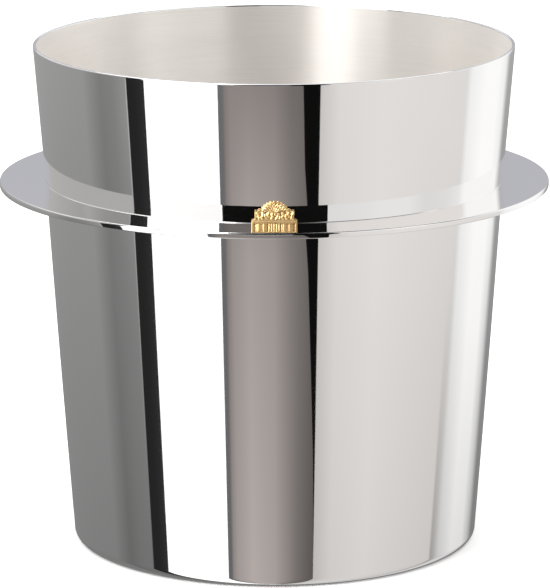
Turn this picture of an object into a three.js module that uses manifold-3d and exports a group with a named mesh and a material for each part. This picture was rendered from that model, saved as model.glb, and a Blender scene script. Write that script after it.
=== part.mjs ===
// A silver-plated wine cooler: a spun, tapered bucket with a flat collar plate soldered around it
// and a small gilt ornament screwed to the front of the plate.
// Millimetres, +Z up. The origin is the centre of the standing ring, on the surface it rests on,
// and the ornament faces -Y.
import * as THREE from "three";
import { mergeVertices } from "three/addons/utils/BufferGeometryUtils.js";
import Module from "manifold-3d";

const wasm = await Module();
wasm.setup();

// ---- driving dimensions -------------------------------------------------------------------------
const HEIGHT = 225;
const RIM_RADIUS = 107; // outside of the wall at the rim
const WAIST_RADIUS = 102.05; // outside of the wall at the top face of the collar
const FOOT_RADIUS = 90.6; // outside of the wall, carried down to the floor
const WALL = 1.6; // sheet thickness
const BELLY = 0.25; // how far the lower wall bows out between the floor and the collar

const FOOT_CORNER = 4; // outside radius of the bottom corner
const STANDING_RING_INNER = 80; // inner edge of the turned-in foot
const RIM_ROUNDING = 0.6;

const COLLAR_RADIUS = 122.5;
const COLLAR_TOP = 164.5;
const COLLAR_THICKNESS = 2.5;
const COLLAR_ROUNDING = 0.5;

const BASE_THICKNESS = 1.5;
const BASE_PUSH_UP = 2; // the middle of the bottom stands this much higher than its edge
const SEAM_LEG = 0.9; // leg of each solder fillet

const PLINTH_WIDTH = 19.2;
const PLINTH_DEPTH = 5.2;
const PLINTH_HEIGHT = 5;
const PLINTH_SETBACK = 1; // from the collar's outer edge to the plinth's front
const SHOULDER_HEIGHT = 0.7; // sloping shoulder between plinth and crest
const CREST_WIDTH = 16.4;
const CREST_DEPTH = 4.2;
const CREST_BLOCK_HEIGHT = 3.4;
const ORNAMENT_HEIGHT = 13.4;

const SCREW_RADIUS = 1; // M2
const SCREW_HEAD_RADIUS = 1.9; // countersunk at 90 degrees
const SCREW_HEAD_INSET = 0.1; // the head lies this much inside the plate's underside
const SCREW_SLOT_DEPTH = 0.5;
const SCREW_REACH = 3; // how far the thread goes into the plinth
const SCREW_SPREAD = 5; // each screw's distance from the middle of the plinth

const GAP = 0.3; // room between neighbouring pieces
const SEGMENTS = 72; // steps round every turned piece

// ---- materials ----------------------------------------------------------------------------------
const polishedSilver = () =>
  new THREE.MeshStandardMaterial({ color: 0xdcdad7, roughness: 0.06, metalness: 1 });
const satinSilver = () =>
  new THREE.MeshStandardMaterial({ color: 0xd2cbc2, roughness: 0.42, metalness: 1 });
const gilt = () =>
  new THREE.MeshStandardMaterial({ color: 0xd9b36c, roughness: 0.22, metalness: 1 });
const steel = () =>
  new THREE.MeshStandardMaterial({ color: 0xb8b8ba, roughness: 0.3, metalness: 1 });

// ---- helpers ------------------------------------------------------------------------------------
const point = (radius, z) => new THREE.Vector2(radius, z);

// Points of an arc in the section plane, from one angle to another, in degrees.
function arc(centreRadius, centreZ, radius, fromDeg, toDeg, steps) {
  const points = [];
  for (let i = 0; i <= steps; i++) {
    const angle = THREE.MathUtils.degToRad(fromDeg + ((toDeg - fromDeg) * i) / steps);
    points.push(
      point(centreRadius + radius * Math.cos(angle), centreZ + radius * Math.sin(angle)),
    );
  }
  return points;
}

// A turned piece: a section of (radius, z) points, swept round +Z.
function turned(section) {
  return new THREE.LatheGeometry(section, SEGMENTS).rotateX(Math.PI / 2);
}

// A turned ring, whose section is closed by repeating its first point.
function turnedRing(section) {
  return turned([...section, section[0].clone()]);
}

function solid(geometry) {
  const bare = geometry.index ? geometry.toNonIndexed() : geometry.clone();
  bare.deleteAttribute("normal");
  bare.deleteAttribute("uv");
  const merged = mergeVertices(bare, 1e-4);
  return new wasm.Manifold(
    new wasm.Mesh({
      numProp: 3,
      vertProperties: merged.attributes.position.array,
      triVerts: new Uint32Array(merged.index.array),
    }),
  );
}

function geometryOf(manifold) {
  const mesh = manifold.getMesh();
  const geometry = new THREE.BufferGeometry();
  geometry.setAttribute("position", new THREE.BufferAttribute(mesh.vertProperties, 3));
  geometry.setIndex(new THREE.BufferAttribute(mesh.triVerts, 1));
  const faceted = geometry.toNonIndexed();
  faceted.computeVertexNormals();
  return faceted;
}

const union = (geometries) =>
  geometryOf(geometries.map(solid).reduce((whole, next) => whole.add(next)));
const cut = (geometry, tools) =>
  geometryOf(tools.map(solid).reduce((left, tool) => left.subtract(tool), solid(geometry)));

function named(name, geometry, material) {
  const mesh = new THREE.Mesh(geometry, material);
  mesh.name = name;
  return mesh;
}

// ---- the wall's shape ---------------------------------------------------------------------------
// Outside radius at a height: a slightly bowed cone up to the collar, then a straight one.
function outerRadius(z) {
  if (z > COLLAR_TOP) {
    const up = (z - COLLAR_TOP) / (HEIGHT - COLLAR_TOP);
    return THREE.MathUtils.lerp(WAIST_RADIUS, RIM_RADIUS, up);
  }
  const up = z / COLLAR_TOP;
  return THREE.MathUtils.lerp(FOOT_RADIUS, WAIST_RADIUS, up) + BELLY * 4 * up * (1 - up);
}

const innerRadius = (z) => outerRadius(z) - WALL;

// Section points up the wall between two heights, ends included.
function wallLine(radiusAt, fromZ, toZ, steps) {
  const points = [];
  for (let i = 0; i <= steps; i++) {
    const z = THREE.MathUtils.lerp(fromZ, toZ, i / steps);
    points.push(point(radiusAt(z), z));
  }
  return points;
}

function bodyWall() {
  const cornerCentre = outerRadius(FOOT_CORNER) - FOOT_CORNER;
  const rimCentre = RIM_RADIUS - RIM_ROUNDING;
  const innerRimCentre = RIM_RADIUS - WALL + RIM_ROUNDING;
  const rimZ = HEIGHT - RIM_ROUNDING;
  const section = [
    point(STANDING_RING_INNER, 0),
    ...arc(cornerCentre, FOOT_CORNER, FOOT_CORNER, -90, 0, 4),
    ...wallLine(outerRadius, FOOT_CORNER, COLLAR_TOP, 4).slice(1),
    ...arc(rimCentre, rimZ, RIM_ROUNDING, 0, 90, 2),
    ...arc(innerRimCentre, rimZ, RIM_ROUNDING, 90, 180, 2),
    ...wallLine(innerRadius, COLLAR_TOP, FOOT_CORNER, 4),
    ...arc(cornerCentre, FOOT_CORNER, FOOT_CORNER - WALL, 0, -90, 3).slice(1),
    point(STANDING_RING_INNER, WALL),
  ];
  return named("body_wall", turnedRing(section), polishedSilver());
}

// ---- the bottom ---------------------------------------------------------------------------------
const BASE_RADIUS = FOOT_RADIUS - FOOT_CORNER;
const BASE_UNDERSIDE = WALL + GAP;
const BASE_TOP = BASE_UNDERSIDE + BASE_THICKNESS;

function baseDisc() {
  const shelf = STANDING_RING_INNER - GAP;
  const bend = shelf - 3 * BASE_PUSH_UP;
  const section = [
    point(0, BASE_UNDERSIDE + BASE_PUSH_UP),
    point(bend, BASE_UNDERSIDE + BASE_PUSH_UP),
    point(shelf, BASE_UNDERSIDE),
    point(BASE_RADIUS, BASE_UNDERSIDE),
    point(BASE_RADIUS, BASE_TOP),
    point(shelf, BASE_TOP),
    point(bend, BASE_TOP + BASE_PUSH_UP),
    point(0, BASE_TOP + BASE_PUSH_UP),
  ];
  return named("base_disc", turned(section), satinSilver());
}

function baseSeam() {
  const bottom = BASE_TOP + GAP;
  const top = bottom + 2 * SEAM_LEG;
  const section = [
    point(BASE_RADIUS - SEAM_LEG, bottom),
    point(innerRadius(FOOT_CORNER) - GAP - 0.5 * SEAM_LEG, bottom),
    point(innerRadius(top) - GAP, top),
    point(innerRadius(top) - GAP - 0.5 * SEAM_LEG, top - 0.8 * SEAM_LEG),
  ];
  return named("base_seam", turnedRing(section), satinSilver());
}

// ---- the collar ---------------------------------------------------------------------------------
const COLLAR_BOTTOM = COLLAR_TOP - COLLAR_THICKNESS;
const ORNAMENT_Y = -(COLLAR_RADIUS - PLINTH_SETBACK - PLINTH_DEPTH / 2);
const SCREW_PLACES = { left: -SCREW_SPREAD, right: SCREW_SPREAD };

// An upright rod or cone at a place on the collar, for a screw and for the hole it goes through.
function uprightRod(x, radius, fromZ, toZ, endRadius = radius) {
  return new THREE.CylinderGeometry(endRadius, radius, toZ - fromZ, 24)
    .rotateX(Math.PI / 2)
    .translate(x, ORNAMENT_Y, (fromZ + toZ) / 2);
}

// A right-angled countersink that widens downwards to a radius at a height.
function countersink(x, radius, atZ) {
  return uprightRod(x, radius + 1, atZ - 1, atZ + radius - 0.5, 0.5);
}

function collarPlate() {
  const edge = COLLAR_RADIUS - COLLAR_ROUNDING;
  const section = [
    point(outerRadius(COLLAR_BOTTOM) + GAP, COLLAR_BOTTOM),
    ...arc(edge, COLLAR_BOTTOM + COLLAR_ROUNDING, COLLAR_ROUNDING, -90, 0, 3),
    ...arc(edge, COLLAR_TOP - COLLAR_ROUNDING, COLLAR_ROUNDING, 0, 90, 3),
    point(outerRadius(COLLAR_TOP) + GAP, COLLAR_TOP),
  ];
  const holes = Object.values(SCREW_PLACES).flatMap((x) => [
    uprightRod(x, SCREW_RADIUS + GAP, COLLAR_BOTTOM - 1, COLLAR_TOP + 1),
    countersink(x, SCREW_HEAD_RADIUS + Math.SQRT2 * GAP, COLLAR_BOTTOM + SCREW_HEAD_INSET),
  ]);
  return named("collar_plate", cut(turnedRing(section), holes), polishedSilver());
}

// A solder fillet with a hollow face, in the corner between the plate and the wall.
function collarSeam(name, plateZ, upwards) {
  const startZ = plateZ + upwards * GAP;
  const endZ = startZ + upwards * SEAM_LEG;
  const hollow = 0.25 * SEAM_LEG;
  const atWall = (z) => outerRadius(z) + GAP;
  const section = [
    point(atWall(startZ), startZ),
    point(atWall(startZ) + SEAM_LEG, startZ),
    point(atWall(startZ) + hollow, startZ + upwards * hollow),
    point(atWall(endZ), endZ),
  ];
  const outwards = upwards > 0 ? section : section.reverse();
  return named(name, turnedRing(outwards), polishedSilver());
}

// ---- the ornament -------------------------------------------------------------------------------
// Its own frame: x across, y from front to back, z up from the face of the collar.
const FLUTE_RADIUS = 0.4;
const FLUTE_PITCH = 1.3;
const PANEL_OFFSET = 6.6; // middle of each side panel
const LOWER_HEIGHT = PLINTH_HEIGHT - SHOULDER_HEIGHT;

// The plinth's plan: a block whose front has a middle panel of flutes between two plain
// pilasters, and a narrower fluted panel at each side.
function plinthPlan() {
  const halfWidth = PLINTH_WIDTH / 2;
  const front = -PLINTH_DEPTH / 2;
  const panel = (middle, count) =>
    Array.from({ length: count }, (_, i) => middle + (i - (count - 1) / 2) * FLUTE_PITCH);
  const flutes = [...panel(-PANEL_OFFSET, 2), ...panel(0, 3), ...panel(PANEL_OFFSET, 2)];
  const plan = new THREE.Shape();
  plan.moveTo(-halfWidth, -front);
  plan.lineTo(-halfWidth, front);
  for (const x of flutes) {
    plan.lineTo(x - FLUTE_RADIUS, front);
    plan.absarc(x, front, FLUTE_RADIUS, Math.PI, 0, true);
  }
  plan.lineTo(halfWidth, front);
  plan.lineTo(halfWidth, -front);
  plan.closePath();
  return plan;
}

// A block whose top is smaller than its bottom, standing on z = 0.
function taperedBlock(width, depth, height, topShare) {
  const corner = Math.SQRT1_2;
  return new THREE.CylinderGeometry(corner * topShare, corner, height, 4)
    .rotateY(Math.PI / 4)
    .rotateX(Math.PI / 2)
    .scale(width, depth, 1)
    .translate(0, 0, height / 2);
}

function ornamentPlinth() {
  const fluted = new THREE.ExtrudeGeometry(plinthPlan(), {
    depth: LOWER_HEIGHT,
    bevelEnabled: false,
    curveSegments: 4,
  });
  const shoulder = taperedBlock(
    PLINTH_WIDTH,
    PLINTH_DEPTH,
    SHOULDER_HEIGHT,
    CREST_WIDTH / PLINTH_WIDTH,
  ).translate(0, 0, LOWER_HEIGHT);
  const holes = Object.values(SCREW_PLACES).map((x) =>
    uprightRod(x, SCREW_RADIUS + GAP, -1, SCREW_REACH + GAP).translate(0, -ORNAMENT_Y, 0),
  );
  return named("ornament_plinth", cut(union([fluted, shoulder]), holes), gilt());
}

// A pointed leaf lying on the dome, leaning sideways by an angle from upright.
function leaf(leanDeg, length) {
  return new THREE.SphereGeometry(1, 8, 6)
    .rotateX(Math.PI / 2)
    .scale(1.1, 0.6, length)
    .translate(0, 0, length)
    .rotateY(THREE.MathUtils.degToRad(leanDeg));
}

function ornamentCrest() {
  const block = taperedBlock(CREST_WIDTH, CREST_DEPTH, CREST_BLOCK_HEIGHT, 0.97);
  const crestHeight = ORNAMENT_HEIGHT - PLINTH_HEIGHT - 2 * GAP;
  const domeCentre = CREST_BLOCK_HEIGHT - 0.8;
  const dome = new THREE.SphereGeometry(1, 16, 12)
    .rotateX(Math.PI / 2)
    .scale(0.37 * CREST_WIDTH, 0.46 * CREST_DEPTH, crestHeight - domeCentre)
    .translate(0, 0, domeCentre);
  const leaves = [-75, -45, -15, 15, 45, 75].map((lean) =>
    leaf(lean, 2.4).translate(0, -0.4 * CREST_DEPTH, 0.4 * CREST_BLOCK_HEIGHT),
  );
  const below = new THREE.BoxGeometry(2 * CREST_WIDTH, 2 * CREST_DEPTH, crestHeight).translate(
    0,
    0,
    -crestHeight / 2,
  );
  return named("ornament_crest", cut(union([block, dome, ...leaves]), [below]), gilt());
}

// ---- the screws ---------------------------------------------------------------------------------
function ornamentScrew(side) {
  const x = SCREW_PLACES[side];
  const headBottom = COLLAR_BOTTOM + SCREW_HEAD_INSET;
  const headTop = headBottom + SCREW_HEAD_RADIUS - SCREW_RADIUS;
  const shank = uprightRod(x, SCREW_RADIUS, headBottom, COLLAR_TOP + SCREW_REACH);
  const head = uprightRod(x, SCREW_HEAD_RADIUS, headBottom, headTop, SCREW_RADIUS);
  const slot = new THREE.BoxGeometry(3 * SCREW_HEAD_RADIUS, 0.5, 2 * SCREW_SLOT_DEPTH).translate(
    x,
    ORNAMENT_Y,
    headBottom,
  );
  return named(`ornament_screw_${side}`, cut(union([shank, head]), [slot]), steel());
}

// ---- assembly -----------------------------------------------------------------------------------
const plinth = ornamentPlinth();
const crest = ornamentCrest();
crest.position.z = PLINTH_HEIGHT + GAP;

const ornament = new THREE.Group();
ornament.position.set(0, ORNAMENT_Y, COLLAR_TOP + GAP);
ornament.add(plinth, crest);

const cooler = new THREE.Group();
cooler.add(
  bodyWall(),
  baseDisc(),
  baseSeam(),
  collarPlate(),
  collarSeam("collar_seam_top", COLLAR_TOP, 1),
  collarSeam("collar_seam_under", COLLAR_BOTTOM, -1),
  ornament,
  ornamentScrew("left"),
  ornamentScrew("right"),
);

export default cooler;
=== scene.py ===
"""A mirror-polished silver wine cooler with a collar plate and a small gilt ornament.

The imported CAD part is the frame. Every turned piece is made again as a fine, smooth mesh at the same
size, and the gilt ornament gets its cast relief. The studio is a pale floor, soft light and a ring of
plain panels that show only in reflections.
"""

import math

import bmesh
import bpy
import numpy as np
from mathutils import Matrix, Vector


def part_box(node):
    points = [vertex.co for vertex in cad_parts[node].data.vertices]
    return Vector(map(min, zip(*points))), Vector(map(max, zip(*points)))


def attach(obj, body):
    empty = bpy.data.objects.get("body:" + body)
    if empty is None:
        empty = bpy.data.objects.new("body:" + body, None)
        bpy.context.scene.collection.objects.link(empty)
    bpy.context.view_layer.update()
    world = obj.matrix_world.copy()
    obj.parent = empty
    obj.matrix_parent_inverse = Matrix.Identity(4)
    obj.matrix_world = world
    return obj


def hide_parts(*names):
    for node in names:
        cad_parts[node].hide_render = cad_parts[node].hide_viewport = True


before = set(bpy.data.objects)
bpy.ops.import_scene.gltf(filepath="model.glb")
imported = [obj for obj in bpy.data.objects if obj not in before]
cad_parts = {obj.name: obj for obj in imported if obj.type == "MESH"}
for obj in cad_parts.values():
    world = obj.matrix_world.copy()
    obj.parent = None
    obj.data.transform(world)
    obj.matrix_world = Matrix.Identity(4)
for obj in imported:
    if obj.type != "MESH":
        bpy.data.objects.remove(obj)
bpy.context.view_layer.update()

# ---- driving dimensions, in metres ----------------------------------------------------------------
MM = 0.001
_, WALL_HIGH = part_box("body_wall")
HEIGHT = WALL_HIGH.z
RIM_RADIUS = WALL_HIGH.x
COLLAR_LOW, COLLAR_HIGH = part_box("collar_plate")
COLLAR_RADIUS = COLLAR_HIGH.x
COLLAR_BOTTOM = COLLAR_LOW.z
COLLAR_TOP = COLLAR_HIGH.z

WAIST_RADIUS = 102.05 * MM  # outside of the wall at the collar's top face
FOOT_RADIUS = 90.6 * MM  # outside of the wall, carried down to the floor
BELLY = 0.25 * MM  # how far the lower wall bows out
WALL = 1.6 * MM
FOOT_CORNER = 4 * MM
STANDING_RING_INNER = 80 * MM
RIM_ROUNDING = 0.6 * MM
COLLAR_TOP_BREAK = 0.22 * MM  # radius that breaks the collar's upper edge
COLLAR_ROUNDING = 1.2 * MM  # radius that runs from there into its upright face
COLLAR_LOWER_ROUNDING = 0.35 * MM
SEAM_LEG = 0.35 * MM
SCREW_HEAD = 1.9 * MM
SCREW_SHANK = 1.0 * MM
SCREW_ROOM = 0.15 * MM

SEGMENTS = 288  # steps round every turned piece
LOOP = 0.12 * MM  # a support loop's distance from the start of a rounding
TUCK = 0.1 * MM  # how far a piece reaches into the wall, so that no gap shows

# The camera, as it was fitted to the photograph.
CAMERA_LENS = 261.24  # millimetres, on a sensor 36 mm wide
CAMERA_SHIFT = 0.0009
CAMERA_PLACE = (0, -1.8699, 0.5401)
CAMERA_TILT = 0.2259  # radians down from level
CAMERA_ROLL = 0.0018  # radians


# ---- camera ---------------------------------------------------------------------------------------
def make_camera():
    """The photograph's viewpoint: a long lens in front, looking 13 degrees down."""
    data = bpy.data.cameras.new("camera")
    data.lens = CAMERA_LENS
    data.sensor_width = 36
    data.shift_x = CAMERA_SHIFT
    data.clip_start = 0.05
    data.clip_end = 100
    camera = bpy.data.objects.new("camera", data)
    look_down = Matrix.Rotation(math.pi / 2 - CAMERA_TILT, 4, "X")
    roll = Matrix.Rotation(-CAMERA_ROLL, 4, "Z")
    camera.matrix_world = Matrix.Translation(CAMERA_PLACE) @ look_down @ roll
    bpy.context.scene.collection.objects.link(camera)
    bpy.context.scene.camera = camera


# ---- mesh helpers ---------------------------------------------------------------------------------
def arc(centre_r, centre_z, radius, from_deg, to_deg, steps):
    """Points of an arc in the section plane."""
    points = []
    for i in range(steps + 1):
        angle = math.radians(from_deg + (to_deg - from_deg) * i / steps)
        points.append((centre_r + radius * math.cos(angle), centre_z + radius * math.sin(angle)))
    return points


def object_of(name, bm, materials, sharp_deg=32):
    """Turns a bmesh into a smooth-shaded object whose sharp edges stay sharp."""
    bmesh.ops.recalc_face_normals(bm, faces=bm.faces)
    mesh = bpy.data.meshes.new(name)
    bm.to_mesh(mesh)
    bm.free()
    for material in materials:
        mesh.materials.append(material)
    mesh.shade_smooth()
    mesh.set_sharp_from_angle(angle=math.radians(sharp_deg))
    made = bpy.data.objects.new(name, mesh)
    bpy.context.scene.collection.objects.link(made)
    return made


def lathe(name, section, materials, sharp_deg=32, steps=SEGMENTS):
    """Sweeps a closed section round Z. Each entry is (radius, z, material number of the face that
    follows it). Points on the axis become poles."""
    bm = bmesh.new()
    rings = []
    for radius, z, _ in section:
        if radius < 1e-7:
            rings.append([bm.verts.new((0, 0, z))] * steps)
            continue
        ring = []
        for k in range(steps):
            angle = 2 * math.pi * k / steps
            ring.append(bm.verts.new((radius * math.cos(angle), radius * math.sin(angle), z)))
        rings.append(ring)
    for i, ring in enumerate(rings):
        following = rings[(i + 1) % len(rings)]
        if ring[0] is ring[1] and following[0] is following[1]:
            continue
        for k in range(steps):
            n = (k + 1) % steps
            corners = [ring[k], ring[n], following[n], following[k]]
            unique = list(dict.fromkeys(corners))
            face = bm.faces.new(unique)
            face.material_index = section[i][2]
    return object_of(name, bm, materials, sharp_deg)


def carve(piece, cutter, sharp_deg):
    """Takes the cutter's shape out of a piece, and removes the cutter."""
    cutting = piece.modifiers.new("cut", "BOOLEAN")
    cutting.operation = "DIFFERENCE"
    cutting.object = cutter
    graph = bpy.context.evaluated_depsgraph_get()
    carved = bpy.data.meshes.new_from_object(piece.evaluated_get(graph))
    piece.modifiers.clear()
    piece.data = carved
    bpy.data.objects.remove(cutter)
    carved.set_sharp_from_angle(angle=math.radians(sharp_deg))


def with_material(points, number=0):
    """Gives every point of a section the same material number."""
    return [(radius, z, number) for radius, z in points]


def add_piece(piece, slot, *nodes):
    """Puts a finished piece on the frame's one body, in place of its CAD nodes."""
    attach(piece, "root")
    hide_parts(*nodes)
    return piece


def keep_out_of_mirrors(made):
    """Leaves an object out of reflections: the photo's mirror wall shows neither the floor nor the
    ornament, which the screws go with."""
    made.visible_glossy = False


# ---- the wall's shape -----------------------------------------------------------------------------
def outer_radius(z):
    """The wall's outside: a slightly bowed cone up to the collar, then a straight one."""
    if z > COLLAR_TOP:
        up = (z - COLLAR_TOP) / (HEIGHT - COLLAR_TOP)
        return WAIST_RADIUS + (RIM_RADIUS - WAIST_RADIUS) * up
    up = z / COLLAR_TOP
    return FOOT_RADIUS + (WAIST_RADIUS - FOOT_RADIUS) * up + BELLY * 4 * up * (1 - up)


def inner_radius(z):
    """The wall's inside."""
    return outer_radius(z) - WALL


def lean_at(z):
    """The wall's lean outwards at a height, in degrees."""
    rise = 1 * MM
    return math.degrees(math.atan((outer_radius(z) - outer_radius(z - rise)) / rise))


def wall_line(radius_at, from_z, to_z, steps):
    """Points of the wall's inside or outside, from one height to another."""
    points = []
    for i in range(steps + 1):
        z = from_z + (to_z - from_z) * i / steps
        points.append((radius_at(z), z))
    return points


# ---- materials ------------------------------------------------------------------------------------
class Nodes:
    """A short way to write a material's node tree."""

    def __init__(self, name):
        self.material = bpy.data.materials.new(name)
        self.material.use_nodes = True
        self.tree = self.material.node_tree
        self.shader = self.tree.nodes["Principled BSDF"]
        self.coordinates = self.tree.nodes.new("ShaderNodeTexCoord").outputs["Object"]

    def add(self, kind, inputs=None, **settings):
        """Adds a node. Each input is a value or another node's output."""
        node = self.tree.nodes.new(kind)
        for key, value in settings.items():
            setattr(node, key, value)
        for key, value in (inputs or {}).items():
            self.feed(node.inputs[key], value)
        return node

    def feed(self, socket, value):
        """Gives an input a value, or links it to another node's output."""
        if isinstance(value, bpy.types.NodeSocket):
            self.tree.links.new(value, socket)
        else:
            socket.default_value = value

    def math(self, operation, a, b=0.0):
        """One step of arithmetic."""
        return self.add("ShaderNodeMath", {0: a, 1: b}, operation=operation).outputs[0]

    def spread(self, value, low, high, to_low, to_high):
        """Maps a value from one range to another, held at both ends."""
        node = self.add(
            "ShaderNodeMapRange",
            {"Value": value, "From Min": low, "From Max": high, "To Min": to_low, "To Max": to_high},
        )
        return node.outputs["Result"]

    def noise(self, scale, detail=4.0, roughness=0.5, vector=None, stretch=(1, 1, 1)):
        """A noise from 0 to 1, which lies on the object unless it is given other coordinates."""
        mapping = self.add(
            "ShaderNodeMapping", {"Vector": vector or self.coordinates, "Scale": stretch}
        )
        node = self.add(
            "ShaderNodeTexNoise",
            {
                "Vector": mapping.outputs[0],
                "Scale": scale,
                "Detail": detail,
                "Roughness": roughness,
            },
        )
        return node.outputs["Fac"]

    def turned(self, around, along):
        """Coordinates that follow a lathe: turns round Z times around, and height and radius
        times along, so that a noise read with them makes lines round the piece."""
        split = self.add("ShaderNodeSeparateXYZ", {0: self.coordinates})
        x, y, z = split.outputs
        angle = self.math("ARCTAN2", y, x)
        x_squared = self.math("MULTIPLY", x, x)
        y_squared = self.math("MULTIPLY", y, y)
        radius = self.math("SQRT", self.math("ADD", x_squared, y_squared))
        joined = self.add(
            "ShaderNodeCombineXYZ",
            {
                0: self.math("MULTIPLY", angle, around),
                1: self.math("MULTIPLY", z, along),
                2: self.math("MULTIPLY", radius, along),
            },
        )
        return joined.outputs[0]

    def mix(self, share, a, b):
        """Goes from colour a to colour b as the share goes from 0 to 1."""
        node = self.add("ShaderNodeMix", data_type="RGBA")
        self.feed(node.inputs["Factor"], share)
        self.feed(node.inputs[6], a)
        self.feed(node.inputs[7], b)
        return node.outputs[2]

    def bump(self, height, distance, normal=None):
        """A bumpy normal, on top of another one if it is given. The distance is in metres."""
        node = self.add("ShaderNodeBump", {"Height": height, "Distance": distance, "Strength": 1.0})
        if normal is not None:
            self.feed(node.inputs["Normal"], normal)
        return node.outputs["Normal"]


def polished_silver():
    """Mirror silver plate: hand-polished, with a faint haze, hair scratches and soft ripples."""
    n = Nodes("polished_silver")
    haze = n.noise(18, detail=3)
    fine = n.noise(900, detail=2)
    hair = n.noise(1.0, detail=2, vector=n.turned(9, 2600))
    scratch = n.spread(hair, 0.68, 0.78, 0.0, 1.0)
    tone = n.mix(haze, (0.945, 0.94, 0.935, 1), (0.975, 0.965, 0.955, 1))
    n.feed(n.shader.inputs["Base Color"], tone)
    rough = n.math("ADD", n.spread(haze, 0.3, 0.7, 0.015, 0.03), n.math("MULTIPLY", fine, 0.012))
    n.feed(n.shader.inputs["Roughness"], n.math("ADD", rough, n.math("MULTIPLY", scratch, 0.04)))
    ripple = n.noise(12, detail=1)
    normal = n.bump(ripple, 0.000015)
    n.feed(n.shader.inputs["Normal"], n.bump(hair, 0.0000004, normal=normal))
    n.shader.inputs["Metallic"].default_value = 1.0
    return n.material


def satin_silver():
    """Silver brushed round the bucket: fine lines that spread every highlight up and down. It is
    not fully metallic, because that came out darker and sharper than in the photo."""
    n = Nodes("satin_silver")
    warm = (0.90, 0.865, 0.825, 1)
    pale = (0.95, 0.925, 0.895, 1)
    dull = (0.80, 0.77, 0.73, 1)
    lines = n.noise(1.0, detail=5, roughness=0.7, vector=n.turned(4, 2400))
    broad = n.noise(1.0, detail=3, vector=n.turned(1.3, 160))
    cloud = n.noise(11, detail=4)
    tone = n.mix(n.spread(cloud, 0.35, 0.65, 0, 1), warm, pale)
    streaked = n.mix(n.spread(lines, 0.35, 0.65, 0, 0.35), tone, dull)
    n.feed(n.shader.inputs["Base Color"], streaked)
    rough = n.math("ADD", n.spread(broad, 0.3, 0.7, 0.33, 0.37), n.spread(lines, 0.3, 0.7, 0, 0.04))
    n.feed(n.shader.inputs["Roughness"], rough)
    n.feed(n.shader.inputs["Normal"], n.bump(lines, 0.000004))
    n.shader.inputs["Metallic"].default_value = 0.72
    n.shader.inputs["Anisotropic"].default_value = 1.0
    n.shader.inputs["Anisotropic Rotation"].default_value = 0.25
    tangent = n.add("ShaderNodeTangent", direction_type="RADIAL", axis="Z")
    n.feed(n.shader.inputs["Tangent"], tangent.outputs[0])
    return n.material


def gilding():
    """Polished gilding on a casting, with painted shade that darkens it towards brown where the relief
    is deep.
    """
    n = Nodes("gilt")
    depth = n.add("ShaderNodeAttribute", attribute_name="recess").outputs["Fac"]
    grain = n.noise(1800, detail=4)
    cloud = n.noise(260, detail=3)
    bright = n.mix(cloud, (0.83, 0.55, 0.22, 1), (0.92, 0.66, 0.33, 1))
    # painted shade: the deeper a spot of the relief lies, the nearer its colour comes to dark brown
    tone = n.mix(n.math("MULTIPLY", depth, 0.9), bright, (0.22, 0.11, 0.035, 1))
    n.feed(n.shader.inputs["Base Color"], tone)
    rough = n.math("ADD", n.spread(grain, 0.3, 0.7, 0.38, 0.48), n.math("MULTIPLY", depth, 0.3))
    n.feed(n.shader.inputs["Roughness"], rough)
    n.feed(n.shader.inputs["Normal"], n.bump(grain, 0.00002))
    n.shader.inputs["Metallic"].default_value = 1.0
    return n.material


def turned_steel():
    """Plain stainless steel with fine turning marks."""
    n = Nodes("turned_steel")
    marks = n.noise(2500, detail=3, stretch=(0.2, 0.2, 1))
    n.feed(n.shader.inputs["Base Color"], n.mix(marks, (0.52, 0.52, 0.53, 1), (0.70, 0.70, 0.71, 1)))
    n.feed(n.shader.inputs["Roughness"], n.spread(marks, 0.3, 0.7, 0.22, 0.38))
    n.feed(n.shader.inputs["Normal"], n.bump(marks, 0.00001))
    n.shader.inputs["Metallic"].default_value = 1.0
    return n.material


MIRROR = polished_silver()
SATIN = satin_silver()
GILT = gilding()
STEEL = turned_steel()


# ---- the bucket -----------------------------------------------------------------------------------
def make_wall():
    """The spun wall, mirror-polished outside and brushed inside, with its turned-in foot."""
    foot_lean = lean_at(FOOT_CORNER)
    foot_top = FOOT_CORNER * (1 - math.sin(math.radians(foot_lean)))
    corner_centre = outer_radius(foot_top) - FOOT_CORNER * math.cos(math.radians(foot_lean))
    rim_lean = lean_at(HEIGHT)
    rim_z = HEIGHT - RIM_ROUNDING
    rim_dip = RIM_ROUNDING * math.sin(math.radians(rim_lean))
    rim_in = RIM_ROUNDING * math.cos(math.radians(rim_lean))
    outer_end = rim_z - rim_dip
    inner_end = rim_z + rim_dip
    outside = [
        (STANDING_RING_INNER, 0),
        (corner_centre - LOOP, 0),
        *arc(corner_centre, FOOT_CORNER, FOOT_CORNER, -90, -foot_lean, 12),
        *wall_line(outer_radius, foot_top + LOOP, COLLAR_TOP - 2 * LOOP, 64),
        *wall_line(outer_radius, COLLAR_TOP + 2 * LOOP, outer_end - LOOP, 24),
        *arc(outer_radius(outer_end) - rim_in, rim_z, RIM_ROUNDING, -rim_lean, 90, 10),
        *arc(inner_radius(inner_end) + rim_in, rim_z, RIM_ROUNDING, 90, 180 - rim_lean, 8),
    ]
    inside = [
        *wall_line(inner_radius, inner_end - LOOP, COLLAR_TOP, 12),
        *wall_line(inner_radius, COLLAR_TOP, FOOT_CORNER, 32)[1:],
        *arc(corner_centre, FOOT_CORNER, FOOT_CORNER - WALL, -foot_lean, -90, 6),
        (STANDING_RING_INNER, WALL),
    ]
    section = with_material(outside, 0) + with_material(inside, 1)
    wall = lathe("bucket_wall", section, [MIRROR, SATIN])
    add_piece(wall, "polished_silver", "body_wall")


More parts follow.
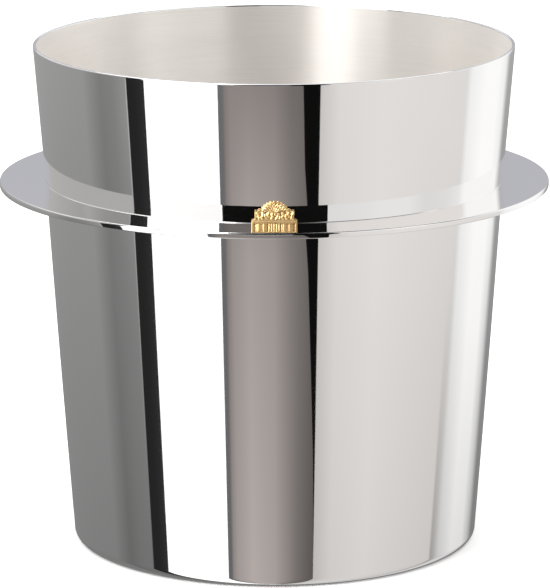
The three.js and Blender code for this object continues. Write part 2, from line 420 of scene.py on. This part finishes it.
def make_base():
    """The bottom disc, dished up in the middle and bent down to lie on the turned-in foot."""
    low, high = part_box("base_disc")
    push_up = 2 * MM
    thickness = high.z - low.z - push_up
    bend = 6 * MM
    bend_end = STANDING_RING_INNER - 0.3 * MM
    bend_start = bend_end - bend
    dish = [(0, push_up), (0.4 * bend_end, push_up), (bend_start - LOOP, push_up)]
    steps = 8
    for i in range(steps + 1):
        share = i / steps
        ease = share * share * (3 - 2 * share)
        dish.append((bend_start + bend * share, push_up * (1 - ease)))
    dish.append((high.x, 0))
    under = [(radius, low.z + rise) for radius, rise in dish]
    over = [(radius, low.z + thickness + rise) for radius, rise in reversed(dish)]
    base = lathe("bucket_base", with_material(under + over), [SATIN])
    add_piece(base, "satin_silver", "base_disc")


def make_base_seam():
    """The solder fillet that makes the bottom watertight."""
    low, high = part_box("base_seam")
    top = high.z
    hollow_radius = 2.4 * MM
    lip = 0.2 * MM
    hollow = arc(inner_radius(top) - hollow_radius - lip, top, hollow_radius, 0, -90, 8)
    section = [*hollow, (inner_radius(FOOT_CORNER) - 2 * lip, low.z), (high.x, top)]
    seam = lathe("base_solder_seam", with_material(section), [SATIN])
    add_piece(seam, "satin_silver", "base_seam")


# ---- the collar -----------------------------------------------------------------------------------
def make_collar():
    """The flat plate. Its upper edge is a small break that runs into a wider polished round."""
    low_edge = COLLAR_RADIUS - COLLAR_LOWER_ROUNDING
    low_centre = COLLAR_BOTTOM + COLLAR_LOWER_ROUNDING
    apart = (COLLAR_ROUNDING - COLLAR_TOP_BREAK) * math.cos(math.radians(45))
    round_edge = COLLAR_RADIUS - COLLAR_ROUNDING
    break_edge = round_edge + apart
    break_centre = COLLAR_TOP - COLLAR_TOP_BREAK
    round_centre = break_centre - apart
    section = [
        (outer_radius(COLLAR_BOTTOM) - TUCK, COLLAR_BOTTOM),
        (low_edge - LOOP, COLLAR_BOTTOM),
        *arc(low_edge, low_centre, COLLAR_LOWER_ROUNDING, -90, 0, 8),
        *arc(round_edge, round_centre, COLLAR_ROUNDING, 0, 45, 10),
        *arc(break_edge, break_centre, COLLAR_TOP_BREAK, 45, 90, 6)[1:],
        (break_edge - LOOP, COLLAR_TOP),
        (outer_radius(COLLAR_TOP) - TUCK, COLLAR_TOP),
    ]
    collar = lathe("collar", with_material(section), [MIRROR])
    for node in ("ornament_screw_left", "ornament_screw_right"):
        carve(collar, screw_hole(node), 32)
    add_piece(collar, "polished_silver", "collar_plate")


def screw_hole(node):
    """The shape of a countersunk hole through the plate."""
    low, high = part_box(node)
    past = 1 * MM
    below = COLLAR_BOTTOM - past
    above = COLLAR_TOP + past
    shank = SCREW_SHANK + SCREW_ROOM
    wide = SCREW_HEAD + SCREW_ROOM + (low.z - below)
    section = [(0, below), (wide, below), (shank, below + wide - shank), (shank, above), (0, above)]
    hole = lathe(node + "_hole", with_material(section), [MIRROR], steps=48)
    hole.data.transform(Matrix.Translation(((low.x + high.x) / 2, ORNAMENT_Y, 0)))
    return hole


def make_collar_seam(name, node, plate_z, upwards):
    """A polished solder fillet in the corner between the plate and the wall."""
    wall = outer_radius(plate_z)
    leg = SEAM_LEG
    centre_z = plate_z + upwards * leg
    hollow = arc(wall + leg, centre_z, leg, 180, 180 + upwards * 90, 8)
    into_plate = plate_z - upwards * TUCK / 2
    section = [*hollow, (wall - TUCK, into_plate), (wall - TUCK, centre_z)]
    seam = lathe(name, with_material(section), [MIRROR], sharp_deg=60)
    add_piece(seam, "polished_silver", node)


# ---- the gilt ornament ----------------------------------------------------------------------------
PLINTH_LOW, PLINTH_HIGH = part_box("ornament_plinth")
CREST_LOW, CREST_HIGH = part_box("ornament_crest")
ORNAMENT_Y = (PLINTH_LOW.y + PLINTH_HIGH.y) / 2
PLINTH_WIDTH = PLINTH_HIGH.x - PLINTH_LOW.x
PLINTH_DEPTH = PLINTH_HIGH.y - PLINTH_LOW.y
CREST_WIDTH = CREST_HIGH.x - CREST_LOW.x
CREST_DEPTH = PLINTH_DEPTH - 1 * MM
GRAIN = 0.11 * MM  # the casting's finest detail
FULL_RECESS = 0.06 * MM  # a spot this far behind its surroundings is as dark as the painted shade gets
SURROUNDINGS = 30  # rounds of smoothing that give a spot's surroundings

# The plinth's relief. Places across are measured from its middle.
SHOULDER = 0.8 * MM
PLINTH_TOP = PLINTH_HIGH.z - SHOULDER
FIELD_DEPTH = 0.45 * MM  # how far the plain field lies behind the front
FOOT_BAND = 0.55 * MM
HEAD_BAND = 0.5 * MM
CORNER_PLACE = 9.15 * MM
CORNER_HALF = 0.45 * MM
PIER_PLACE = 5.4 * MM
PIER_HALF = 2.3 * MM
PIER_SETBACK = 0.2 * MM
WIDE_REED = 0.95 * MM  # radius
WIDE_REED_OFFSET = 1.15 * MM  # from the pier's middle
WIDE_REED_SINK = 0.75 * MM  # from the pier's face to the reed's axis
FINE_REED = 0.36 * MM
FINE_REED_PITCH = 1.05 * MM
# Each step of the shoulder, in millimetres: how far in, how high, and where it starts.
SHOULDER_STEPS = ((0.0, 0.25, 0.0), (0.35, 0.30, 0.25), (0.85, 0.30, 0.5))

# The crest's relief.
CREST_FOOT = PLINTH_HIGH.z - 0.05 * MM
CREST_BLOCK_TOP = CREST_LOW.z + 3.4 * MM
CREST_STRIP_HALF = 0.35 * MM
CREST_FACE_DEPTH = 0.75 * MM  # how far the leaves' roots lie behind the front
DOME_FOOT = CREST_BLOCK_TOP - 0.8 * MM
DOME_HALF = 0.355 * CREST_WIDTH
DOME_HEIGHT = CREST_HIGH.z - 0.35 * MM - DOME_FOOT
PEARLS = 11
PEARL = 0.42 * MM  # radius
# Each fan of leaves on the dome: how many, how far they lean to either side in degrees, and in
# millimetres their length, width and lift.
DOME_LEAVES = ((9, 70, 4.5, 1.5, 0.25), (8, 60, 3.5, 1.4, 0.5), (5, 42, 2.5, 1.3, 0.8))
BLOCK_ROWS = 3
BLOCK_LEAVES = 9


def box(bm, low, high):
    """Adds a box between two corners."""
    size = Vector(high) - Vector(low)
    middle = (Vector(high) + Vector(low)) / 2
    place = Matrix.Translation(middle) @ Matrix.Diagonal((*size, 1))
    bmesh.ops.create_cube(bm, size=1, matrix=place)


def ball(bm, centre, radii):
    """Adds an ellipsoid."""
    place = Matrix.Translation(centre) @ Matrix.Diagonal((*radii, 1))
    bmesh.ops.create_uvsphere(bm, u_segments=16, v_segments=12, radius=1, matrix=place)


def reed(bm, x, front, low_z, high_z, radius):
    """Adds an upright half-round reed with rounded ends."""
    middle = (low_z + high_z) / 2
    place = Matrix.Translation((x, front, middle))
    length = high_z - low_z - 2 * radius
    bmesh.ops.create_cone(
        bm, cap_ends=True, segments=16, radius1=radius, radius2=radius, depth=length, matrix=place
    )
    for z in (low_z + radius, high_z - radius):
        ball(bm, (x, front, z), (radius, radius, radius))


def leaf_rows(bm, root, lean, length, width, side, lift):
    """Adds one face of a leaf, as rows of vertices from its root to its tip."""
    steps = 10
    across = 4
    turn = Matrix.Rotation(lean, 4, "Y")
    rows = []
    for i in range(steps + 1):
        along = i / steps
        half = 0.5 * width * math.sin(math.pi * (0.12 + 0.88 * along) ** 0.85) ** 0.75
        half *= 1 + 0.14 * math.cos(6 * math.pi * along)  # the lobes of its edge
        fullness = math.sin(math.pi * min(1, 0.15 + 0.8 * along))
        curl = 0.30 * length * along**3
        row = []
        for j in range(-across, across + 1):
            share = j / across
            crown = 0.30 * width * (1 - share * share)
            rib = 0.12 * width * max(0.0, 1 - abs(share) * 4)
            out = lift + curl + (crown + rib) * fullness
            place = turn @ Vector((share * half, 0, along * length))
            row.append(bm.verts.new((root[0] + place.x, root[1] + side * out, root[2] + place.z)))
        rows.append(row)
    return rows


def outline(rows):
    """The vertices round the edge of a sheet made of rows."""
    right = [row[-1] for row in rows[1:]]
    top = rows[-1][-2::-1]
    left = [row[0] for row in rows[-2:0:-1]]
    return [*rows[0], *right, *top, *left]


def leaf(bm, root, lean, length, width, side, lift):
    """Adds a pointed leaf that grows from its root, leans sideways, and curls out at its tip.
    side is -1 for the front and 1 for the back of the crest."""
    thickness = 0.7 * MM
    outer = leaf_rows(bm, root, lean, length, width, side, lift)
    inner = leaf_rows(bm, root, lean, length, width, side, lift - thickness)
    for rows in (outer, inner):
        for low, high in zip(rows, rows[1:]):
            for j in range(len(low) - 1):
                bm.faces.new([low[j], low[j + 1], high[j + 1], high[j]])
    outer_edge = outline(outer)
    inner_edge = outline(inner)
    for k in range(len(outer_edge)):
        n = (k + 1) % len(outer_edge)
        bm.faces.new([outer_edge[k], outer_edge[n], inner_edge[n], inner_edge[k]])


def scroll(bm, centre, side, hand, radius, thick):
    """Adds a small volute that winds in towards its eye."""
    turns = 1.6
    steps = 28
    winding = 0.82
    taper = 0.35
    for i in range(steps):
        share = i / (steps - 1)
        angle = hand * turns * 2 * math.pi * share
        reach = radius * (1 - winding * share)
        size = thick * (1 - taper * share)
        x = centre[0] + hand * reach * math.cos(angle)
        z = centre[2] + reach * math.sin(abs(angle))
        ball(bm, (x, centre[1] + side * 0.2 * thick, z), (size, size, size))
    ball(bm, (centre[0], centre[1] + side * 0.4 * thick, centre[2]), (1.1 * thick,) * 3)


def melted(name, bm):
    """Melts overlapping closed shapes into one mesh."""
    rough = bpy.data.meshes.new(name + "_pattern")
    bm.normal_update()
    bm.to_mesh(rough)
    bm.free()
    pattern = bpy.data.objects.new(name + "_pattern", rough)
    bpy.context.scene.collection.objects.link(pattern)
    remesh = pattern.modifiers.new("melt", "REMESH")
    remesh.mode = "VOXEL"
    remesh.voxel_size = GRAIN
    graph = bpy.context.evaluated_depsgraph_get()
    mesh = bpy.data.meshes.new_from_object(pattern.evaluated_get(graph))
    bpy.data.objects.remove(pattern)
    mesh.name = name
    return mesh


def relaxed(places, ends, steps):
    """Moves every vertex to the middle of its neighbours, a number of times."""
    here = np.concatenate([ends[:, 0], ends[:, 1]])
    there = np.concatenate([ends[:, 1], ends[:, 0]])
    degree = np.maximum(np.bincount(here, minlength=len(places)), 1)[:, None]
    for _ in range(steps):
        total = np.empty_like(places)
        for axis in range(3):
            values = places[:, axis]
            total[:, axis] = np.bincount(here, weights=values[there], minlength=len(places))
        places = 0.5 * places + 0.5 * total / degree
    return places


def cast(name, bm, smooth_steps):
    """Makes a gilt casting of overlapping closed shapes, and stores how deep each spot lies, which the
    gilt turns into painted shade.
    """
    mesh = melted(name, bm)
    places = np.empty(len(mesh.vertices) * 3)
    mesh.vertices.foreach_get("co", places)
    ends = np.empty(len(mesh.edges) * 2, dtype=np.int64)
    mesh.edges.foreach_get("vertices", ends)
    ends = ends.reshape(-1, 2)
    places = relaxed(places.reshape(-1, 3), ends, smooth_steps)
    mesh.vertices.foreach_set("co", places.ravel())
    mesh.update()
    normals = np.empty(len(places) * 3)
    mesh.vertex_normals.foreach_get("vector", normals)
    around = relaxed(places, ends, SURROUNDINGS)
    depth = np.einsum("ij,ij->i", around - places, normals.reshape(-1, 3))
    # how deep each spot lies, from 0 to 1: the gilt paints its shade from this
    recess = np.clip(depth / FULL_RECESS, 0.0, 1.0)
    attribute = mesh.attributes.new("recess", "FLOAT", "POINT")
    attribute.data.foreach_set("value", recess.astype(np.float32))
    mesh.materials.clear()
    mesh.materials.append(GILT)
    mesh.shade_smooth()
    made = bpy.data.objects.new(name, mesh)
    bpy.context.scene.collection.objects.link(made)
    keep_out_of_mirrors(made)
    return made


def plinth_face(bm, side, face):
    """Adds the relief of the plinth's front (side -1) or back (side 1)."""
    half = PLINTH_WIDTH / 2
    inner = face - side * 1.5 * FIELD_DEPTH
    near, far = sorted((face, inner))
    box(bm, (-half, near, COLLAR_TOP), (half, far, COLLAR_TOP + FOOT_BAND))
    box(bm, (-half, near, PLINTH_TOP - HEAD_BAND), (half, far, PLINTH_TOP))
    for x in (-CORNER_PLACE, CORNER_PLACE):
        box(bm, (x - CORNER_HALF, near, COLLAR_TOP), (x + CORNER_HALF, far, PLINTH_TOP))
    pier_face = face - side * PIER_SETBACK
    near, far = sorted((pier_face, inner))
    reed_y = pier_face - side * WIDE_REED_SINK
    reed_foot = COLLAR_TOP - 0.4 * MM
    for x in (-PIER_PLACE, PIER_PLACE):
        box(bm, (x - PIER_HALF, near, COLLAR_TOP), (x + PIER_HALF, far, PLINTH_TOP))
        for offset in (-WIDE_REED_OFFSET, WIDE_REED_OFFSET):
            reed(bm, x + offset, reed_y, reed_foot, PLINTH_TOP, WIDE_REED)
    field = face - side * FIELD_DEPTH
    for i in range(-2, 3):
        x = i * FINE_REED_PITCH
        reed(bm, x, field, COLLAR_TOP + 0.4 * MM, PLINTH_TOP - 0.3 * MM, FINE_REED)


def make_plinth():
    """The lower tier: reeded piers and middle, corner strips and a stepped shoulder."""
    bm = bmesh.new()
    half = PLINTH_WIDTH / 2
    front = PLINTH_LOW.y
    back = PLINTH_HIGH.y
    box(bm, (-half, front + FIELD_DEPTH, COLLAR_TOP), (half, back - FIELD_DEPTH, PLINTH_TOP))
    plinth_face(bm, -1, front)
    plinth_face(bm, 1, back)
    for inset, rise, start in SHOULDER_STEPS:
        x = half - inset * MM
        y = PLINTH_DEPTH / 2 - 0.4 * inset * MM
        z = PLINTH_TOP + start * MM
        box(bm, (-x, ORNAMENT_Y - y, z), (x, ORNAMENT_Y + y, z + rise * MM))
    return add_piece(cast("ornament_base", bm, 3), "gilt", "ornament_plinth")


def fan_of_leaves(bm, side, face, count, reach, length, width, lift):
    """Adds leaves that spread from the dome's foot like a fan."""
    for i in range(count):
        lean = math.radians(reach * (2 * i / (count - 1) - 1))
        root = (0.9 * math.sin(lean) * MM, face, DOME_FOOT + 0.4 * MM)
        leaf(bm, root, lean, length * MM, width * MM, side, lift * MM)


def rows_of_leaves(bm, side, face):
    """Adds rows of small leaves in front of the block, each row nearer the front. The sines lean
    them this way and that, so that no two neighbours look alike."""
    for row in range(BLOCK_ROWS):
        lift = (0.2 + 0.12 * row) * MM
        z = CREST_FOOT + (0.1 + 0.95 * row) * MM
        for i in range(BLOCK_LEAVES):
            x = (1.7 * (i - BLOCK_LEAVES // 2) + 0.4 * (-1) ** row) * MM
            lean = 0.6 * math.sin(5.1 * i + 2.3 * row)
            leaf(bm, (x, face, z), lean, 1.9 * MM, 1.5 * MM, side, lift)


def crest_face(bm, side):
    """Adds the relief of the crest's front (side -1) or back (side 1)."""
    face = ORNAMENT_Y + side * (CREST_DEPTH / 2 - CREST_FACE_DEPTH)
    for fan in DOME_LEAVES:
        fan_of_leaves(bm, side, face, *fan)
    rows_of_leaves(bm, side, face)
    for hand in (-1, 1):
        eye = (hand * 5.9 * MM, face, CREST_BLOCK_TOP - 0.55 * MM)
        scroll(bm, eye, side, hand, 1.15 * MM, 0.33 * MM)


def row_of_pearls(bm):
    """Adds a row of pearls over the dome."""
    for i in range(PEARLS):
        angle = math.pi * (0.08 + 0.84 * i / (PEARLS - 1))
        x = DOME_HALF * math.cos(angle)
        z = DOME_FOOT + (DOME_HEIGHT - 0.1 * MM) * math.sin(angle)
        ball(bm, (x, ORNAMENT_Y, z), (PEARL, 1.3 * PEARL, PEARL))


def make_crest():
    """The upper tier: a block with corner strips that carries a leafy dome with pearls on top."""
    bm = bmesh.new()
    half = CREST_WIDTH / 2
    depth = CREST_DEPTH / 2
    block_depth = depth - 0.3 * MM
    low_corner = (-half, ORNAMENT_Y - block_depth, CREST_FOOT)
    high_corner = (half, ORNAMENT_Y + block_depth, CREST_BLOCK_TOP)
    box(bm, low_corner, high_corner)
    strip_top = CREST_BLOCK_TOP + 0.15 * MM
    for hand in (-1, 1):
        x = hand * (half - CREST_STRIP_HALF)
        low_corner = (x - CREST_STRIP_HALF, ORNAMENT_Y - depth, CREST_FOOT)
        high_corner = (x + CREST_STRIP_HALF, ORNAMENT_Y + depth, strip_top)
        box(bm, low_corner, high_corner)
    ball(bm, (0, ORNAMENT_Y, DOME_FOOT), (DOME_HALF, 0.8 * depth, DOME_HEIGHT))
    crest_face(bm, -1)
    crest_face(bm, 1)
    row_of_pearls(bm)
    return add_piece(cast("ornament_crest_relief", bm, 2), "gilt", "ornament_crest")


# ---- screws ---------------------------------------------------------------------------------------
def make_screw(name, node):
    """A countersunk slotted screw with a fine chamfer and a threaded shank."""
    low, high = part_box(node)
    centre_x = (low.x + high.x) / 2
    head = SCREW_HEAD
    shank = SCREW_SHANK
    chamfer = 0.08 * MM
    tip = 0.3 * MM
    pitch = 0.4 * MM
    z = low.z + head - shank
    section = [(0, low.z), (head - chamfer, low.z), (head, low.z + chamfer), (shank, z)]
    while z + pitch < high.z - tip:
        section.append((shank, z + 0.1 * pitch))
        section.append((shank - 0.6 * pitch, z + 0.5 * pitch))
        section.append((shank, z + 0.9 * pitch))
        z += pitch
    section.append((shank, z + 0.1 * pitch))
    section.append((0.6 * shank, high.z))
    section.append((0, high.z))
    screw = lathe(name, with_material(section), [STEEL], sharp_deg=20, steps=48)
    screw.data.transform(Matrix.Translation((centre_x, ORNAMENT_Y, 0)))
    slot = bmesh.new()
    slot_half = 0.25 * MM
    slot_depth = 0.5 * MM
    past = 1 * MM
    low_corner = (centre_x - head - past, ORNAMENT_Y - slot_half, low.z - past)
    high_corner = (centre_x + head + past, ORNAMENT_Y + slot_half, low.z + slot_depth)
    box(slot, low_corner, high_corner)
    carve(screw, object_of(name + "_slot", slot, [STEEL]), 20)
    keep_out_of_mirrors(screw)
    add_piece(screw, "screw_steel", node)


# ---- studio ---------------------------------------------------------------------------------------
RING = 0.95  # radius of the ring of panels
RING_TOP = 1.1
RING_BOTTOM = -0.7
UNDERFOOT = 0.02  # how near a panel's lowest row comes to the axis, under the object
IN_FRONT = 0.01  # how far a panel stands in front of the one behind it
SILVER_REFLECTS = 0.95  # share of a panel's light that the silver gives back
BLACK = 14  # a level, as light_of takes it
DAZZLING = 275  # brighter than the picture's white
WORLD_LIGHT = 1.7

PLAIN = (1.0, 1.0, 1.0)
WARM = (1.0, 0.984, 0.974)
MAUVE = (1.0, 0.953, 0.935)
COOL = (0.965, 0.968, 1.0)

# The heights at which a panel's levels are given. The wall mirrors the panels below LOW_TOP, and the
# collar and the brushed inside mirror the ones above.
LOW_HEIGHTS = (-0.40, -0.16, -0.07)
LOW_TOP = 0.27
HIGH_HEIGHTS = (LOW_TOP, 0.5, 0.6, 0.72, 0.78, RING_TOP)


def light_of(level, tint):
    """A panel's light. The level is how bright its mirror image looks, where 255 is the picture's
    white and more is brighter still. The numbers 0.055 and 2.4 belong to the sRGB curve."""
    made = []
    for channel in tint:
        shown = level * channel / 255
        if shown > 1:
            value = shown**2.4
        else:
            value = ((shown + 0.055) / 1.055) ** 2.4
        made.append(value / SILVER_REFLECTS)
    return (*made, 1.0)


def glow():
    """The panels' light: the colour painted on their corners."""
    material = bpy.data.materials.new("panel_light")
    material.use_nodes = True
    nodes = material.node_tree.nodes
    nodes.clear()
    paint = nodes.new("ShaderNodeAttribute")
    paint.attribute_name = "light"
    emission = nodes.new("ShaderNodeEmission")
    output = nodes.new("ShaderNodeOutputMaterial")
    material.node_tree.links.new(paint.outputs["Color"], emission.inputs["Color"])
    material.node_tree.links.new(emission.outputs[0], output.inputs["Surface"])
    return material


GLOW = glow()


def round_place(azimuth_deg, radius, z):
    """A place by azimuth: 0 is the camera's side and 90 the right-hand side."""
    angle = math.radians(azimuth_deg)
    return (radius * math.sin(angle), -radius * math.cos(angle), z)


def only_in_reflections(made):
    """Puts a panel in the studio, where the camera and matt surfaces don't see it."""
    made.visible_camera = False
    made.visible_diffuse = False
    made.visible_shadow = False
    made.visible_transmission = False


def panel(name, rows, stops, tint):
    """A curved panel. rows are (radius, z) from its foot upwards, and each stop is an azimuth and a
    level for every row. The light runs smoothly between them."""
    bm = bmesh.new()
    paint = bm.verts.layers.float_color.new("light")
    first, last = stops[0][0], stops[-1][0]
    steps = max(2, round(last - first))
    columns = {first + (last - first) * i / steps for i in range(steps + 1)}
    columns |= {azimuth for azimuth, _ in stops}
    grid = []
    for azimuth in sorted(columns):
        k = max(i for i in range(len(stops) - 1) if i == 0 or stops[i][0] <= azimuth)
        share = (azimuth - stops[k][0]) / (stops[k + 1][0] - stops[k][0])
        column = []
        for (radius, z), before, after in zip(rows, stops[k][1], stops[k + 1][1]):
            vertex = bm.verts.new(round_place(azimuth, radius, z))
            vertex[paint] = light_of(before + (after - before) * share, tint)
            column.append(vertex)
        grid.append(column)
    for left, right in zip(grid, grid[1:]):
        for j in range(len(rows) - 1):
            bm.faces.new([left[j], right[j], right[j + 1], left[j + 1]])
    only_in_reflections(object_of(name, bm, [GLOW]))


def low_panel(name, stops, tint):
    """A panel below the collar's level, which goes on under the object. Each stop is an azimuth and
    its levels at LOW_HEIGHTS and at LOW_TOP."""
    rows = [(UNDERFOOT, RING_BOTTOM), (RING, RING_BOTTOM)]
    rows += [(RING, z) for z in (*LOW_HEIGHTS, LOW_TOP)]
    filled = []
    for azimuth, levels in stops:
        filled.append((azimuth, (levels[0], levels[0], *levels)))
    panel(name, rows, filled, tint)


def high_panel(name, stops, tint):
    """A panel above the collar's level. Each stop is an azimuth and its levels at HIGH_HEIGHTS."""
    panel(name, [(RING, z) for z in HIGH_HEIGHTS], stops, tint)


def strip(name, radius, edges, level, tint):
    """An upright strip of even light. Each entry of edges is a height, and the azimuths of the strip's
    left and right edge there."""
    bm = bmesh.new()
    paint = bm.verts.layers.float_color.new("light")
    steps = 16
    rows = []
    for z, left, right in edges:
        row = []
        for i in range(steps + 1):
            vertex = bm.verts.new(round_place(left + (right - left) * i / steps, radius, z))
            vertex[paint] = light_of(level, tint)
            row.append(vertex)
        rows.append(row)
    for low, high in zip(rows, rows[1:]):
        for i in range(steps):
            bm.faces.new([low[i], low[i + 1], high[i + 1], high[i]])
    only_in_reflections(object_of(name, bm, [GLOW]))


def make_left_panels():
    """A grey wall, a black post and a broad white screen."""
    low_panel(
        "grey_left",
        [
            (-180, (122, 135, 145, 180)),
            (-100, (120, 138, 143, 165)),
            (-88, (100, 116, 120, 148)),
            (-80, (110, 122, 126, 145)),
            (-72.2, (112, 128, 142, 145)),
            (-71.9, (85, 150, 175, 160)),
            (-70.5, (85, 150, 175, 160)),
        ],
        PLAIN,
    )
    high_panel(
        "grey_left_high",
        [
            (-148, (176, 180, 230, 230, 180, 175)),
            (-120, (165, 176, 240, 240, 215, 210)),
            (-104, (158, 176, 240, 240, 225, 220)),
            (-92, (155, 176, 235, 235, 90, 80)),
            (-70.5, (148, 176, 235, 235, 90, 80)),
        ],
        PLAIN,
    )
    post = RING - IN_FRONT
    post_foot = RING_BOTTOM + IN_FRONT
    post_top = 0.6
    post_rows = [(UNDERFOOT, post_foot), (post, post_foot), (post, post_top)]
    panel("black_left", post_rows, [(-71.4, (36,) * 3), (-67, (38,) * 3), (-61.6, (48,) * 3)], COOL)
    screen_rows = [(UNDERFOOT, RING_BOTTOM)]
    screen_rows += [(RING, z) for z in (RING_BOTTOM, LOW_TOP, 0.5, 0.7, RING_TOP)]
    dazzling = (DAZZLING,) * 3
    panel(
        "white_left",
        screen_rows,
        [
            (-70.5, (*dazzling, 215, 205, 200)),
            (-62, (*dazzling, 265, 250, 240)),
            (-42, (*dazzling, 258, 170, 150)),
            (-25.3, (*dazzling, 254, 165, 150)),
        ],
        PLAIN,
    )


def make_front_panels():
    """A mauve wall on the camera's side, with a black post at its right edge and black above."""
    low_panel(
        "mauve_edge",
        [(-25.8, (102, 104, 106, 98)), (-23.4, (106, 108, 112, 98))],
        COOL,
    )
    low_panel(
        "mauve_front",
        [
            (-23.4, (120, 112, 114, 98)),
            (-22.4, (142, 132, 128, 98)),
            (-20, (160, 151, 138, 102)),
            (-12, (178, 165, 138, 104)),
            (0, (165, 156, 131, 90)),
            (8, (135, 128, 111, 80)),
            (12, (116, 116, 109, 78)),
            (21, (88, 95, 98, 78)),
        ],
        MAUVE,
    )
    near = RING - 2 * IN_FRONT
    lintel = 0.33
    strip(
        "black_post",
        near,
        [
            (-0.37, 20.8, 20.9),
            (-0.30, 19.9, 20.9),
            (-0.16, 16.2, 20.9),
            (-0.12, 14.2, 20.9),
            (-0.07, 13.2, 20.9),
            (0.02, 11, 20.9),
            (0.12, 8.5, 22.5),
            (0.17, 8.2, 23.7),
            (0.30, 7, 25.4),
            (lintel, 7, 25.4),
        ],
        BLACK,
        WARM,
    )
    strip("black_lintel", near, [(lintel, -24.8, 25.4), (RING_TOP, -24.8, 25.4)], BLACK, WARM)


def make_right_panels():
    """A pale wall and, past a faint dark line, a white one that turns grey towards the back."""
    low_panel(
        "light_right",
        [
            (20.9, (186, 197, 199, 199)),
            (30, (206, 216, 219, 222)),
            (50, (213, 223, 224, 226)),
            (96, (198, 212, 219, 226)),
            (98, (140, 211, 219, 226)),
            (101.5, (168, 208, 219, 228)),
        ],
        WARM,
    )
    low_panel(
        "white_right",
        [
            (101.5, (168, 208, 219, 228)),
            (105, (190, 228, 238, 246)),
            (118, (214, 245, 250, 252)),
            (132, (205, 243, 249, 251)),
            (142, (161, 208, 236, 240)),
            (150, (112, 138, 152, 190)),
            (180, (122, 134, 145, 180)),
        ],
        PLAIN,
    )
    high_panel(
        "light_right_high",
        [
            (24, (218, 222, 235, 230, 225, 205)),
            (45, (224, 228, 242, 240, 235, 225)),
            (52, (226, 232, 256, 256, 252, 245)),
            (68, (226, 232, 256, 256, 252, 245)),
            (78, (224, 218, 208, 180, 150, 140)),
            (92, (226, 222, 208, 180, 150, 140)),
            (101, (230, 232, 238, 236, 220, 205)),
            (106, (248, 250, 250, 250, 225, 210)),
            (140, (248, 250, 250, 250, 215, 200)),
            (148, (190, 192, 222, 222, 200, 190)),
        ],
        PLAIN,
    )


def make_back_and_top():
    """Behind the object: lavender grey with a bright window above. Overhead: a soft box, which is
    dim above the camera and to the right, and a black beam over the camera's side."""
    rows = [(RING, z) for z in (LOW_TOP, 0.425, 0.44, 0.6, 0.78, RING_TOP)]
    levels = (184, 188, 248, 235, 195, 190)
    panel("grey_back_high", rows, [(148, levels), (212, levels)], COOL)
    beam = RING_TOP - IN_FRONT
    black = (BLACK, BLACK)
    panel("black_beam", [(RING, beam), (0.2, beam)], [(-24, black), (25.4, black)], WARM)
    cap_rows = [(RING, RING_TOP), (0.01, RING_TOP)]
    cap_levels = ((-180, 310), (-24, 310), (-23, 120), (100, 130), (112, 310), (180, 310))
    panel("cap", cap_rows, [(azimuth, (level, level)) for azimuth, level in cap_levels], PLAIN)


def make_floor():
    """A plain pale floor, which the polished metal doesn't mirror."""
    bm = bmesh.new()
    bmesh.ops.create_grid(bm, x_segments=8, y_segments=8, size=30)
    n = Nodes("pale_floor")
    speck = n.noise(60, detail=5)
    n.feed(n.shader.inputs["Base Color"], n.mix(speck, (0.90, 0.90, 0.90, 1), (0.93, 0.93, 0.93, 1)))
    n.shader.inputs["Roughness"].default_value = 0.9
    floor = object_of("floor", bm, [n.material])
    keep_out_of_mirrors(floor)


def ornament_light(name, pieces, azimuth, height, reach, size, watts, tint):
    """A soft light near the gilt ornament that shines on it alone. The height is above the
    ornament's middle, and the reach is how far it stands off to the azimuth's side."""
    data = bpy.data.lights.new(name, "AREA")
    data.shape = "DISK"
    data.size = size
    data.energy = watts
    data.color = tint
    light = bpy.data.objects.new(name, data)
    target = Vector((0, ORNAMENT_Y, COLLAR_TOP + 7 * MM))
    light.location = target + Vector(round_place(azimuth, reach, height))
    light.rotation_euler = (target - light.location).to_track_quat("-Z", "Y").to_euler()
    light.visible_camera = False
    receivers = bpy.data.collections.new(name + "_receivers")
    for piece in pieces:
        receivers.objects.link(piece)
    light.light_linking.receiver_collection = receivers
    bpy.context.scene.collection.objects.link(light)


def make_ornament_lights(pieces):
    """The panels light the ornament poorly, so it has a key light from the left, a small light close
    by for the sparkle on its left side, and a weak warm fill from the right."""
    ornament_light(
        "ornament_key", pieces,
        azimuth=-84, height=0.22, reach=0.40, size=0.30, watts=0.85, tint=(1.0, 0.97, 0.90),
    )
    ornament_light(
        "ornament_card", pieces,
        azimuth=-65, height=0.0, reach=0.045, size=0.04, watts=0.028, tint=(1.0, 1.0, 1.0),
    )
    ornament_light(
        "ornament_fill", pieces,
        azimuth=35, height=0.12, reach=0.40, size=0.40, watts=0.10, tint=(1.0, 0.93, 0.82),
    )


def make_light():
    """An even white surround, and a soft lamp from the upper left."""
    world = bpy.data.worlds.new("studio")
    bpy.context.scene.world = world
    world.use_nodes = True
    background = world.node_tree.nodes["Background"]
    background.inputs["Color"].default_value = (1, 1, 1, 1)
    background.inputs["Strength"].default_value = WORLD_LIGHT
    data = bpy.data.lights.new("soft_top_left", "AREA")
    data.shape = "DISK"
    data.size = 0.5
    data.energy = 5
    light = bpy.data.objects.new("soft_top_left", data)
    light.location = (-0.55, -0.75, 0.95)
    aim = Vector((0, 0, 0.15)) - light.location
    light.rotation_euler = aim.to_track_quat("-Z", "Y").to_euler()
    light.visible_camera = False
    bpy.context.scene.collection.objects.link(light)


make_camera()
make_wall()
make_base()
make_base_seam()
make_collar()
make_collar_seam("collar_solder_top", "collar_seam_top", COLLAR_TOP, 1)
make_collar_seam("collar_solder_under", "collar_seam_under", COLLAR_BOTTOM, -1)
gilt_pieces = [make_plinth(), make_crest()]
make_screw("screw_left", "ornament_screw_left")
make_screw("screw_right", "ornament_screw_right")
make_left_panels()
make_front_panels()
make_right_panels()
make_back_and_top()
make_floor()
make_light()
make_ornament_lights(gilt_pieces)
bpy.context.scene.view_settings.view_transform = "Standard"

bpy.context.view_layer.update()
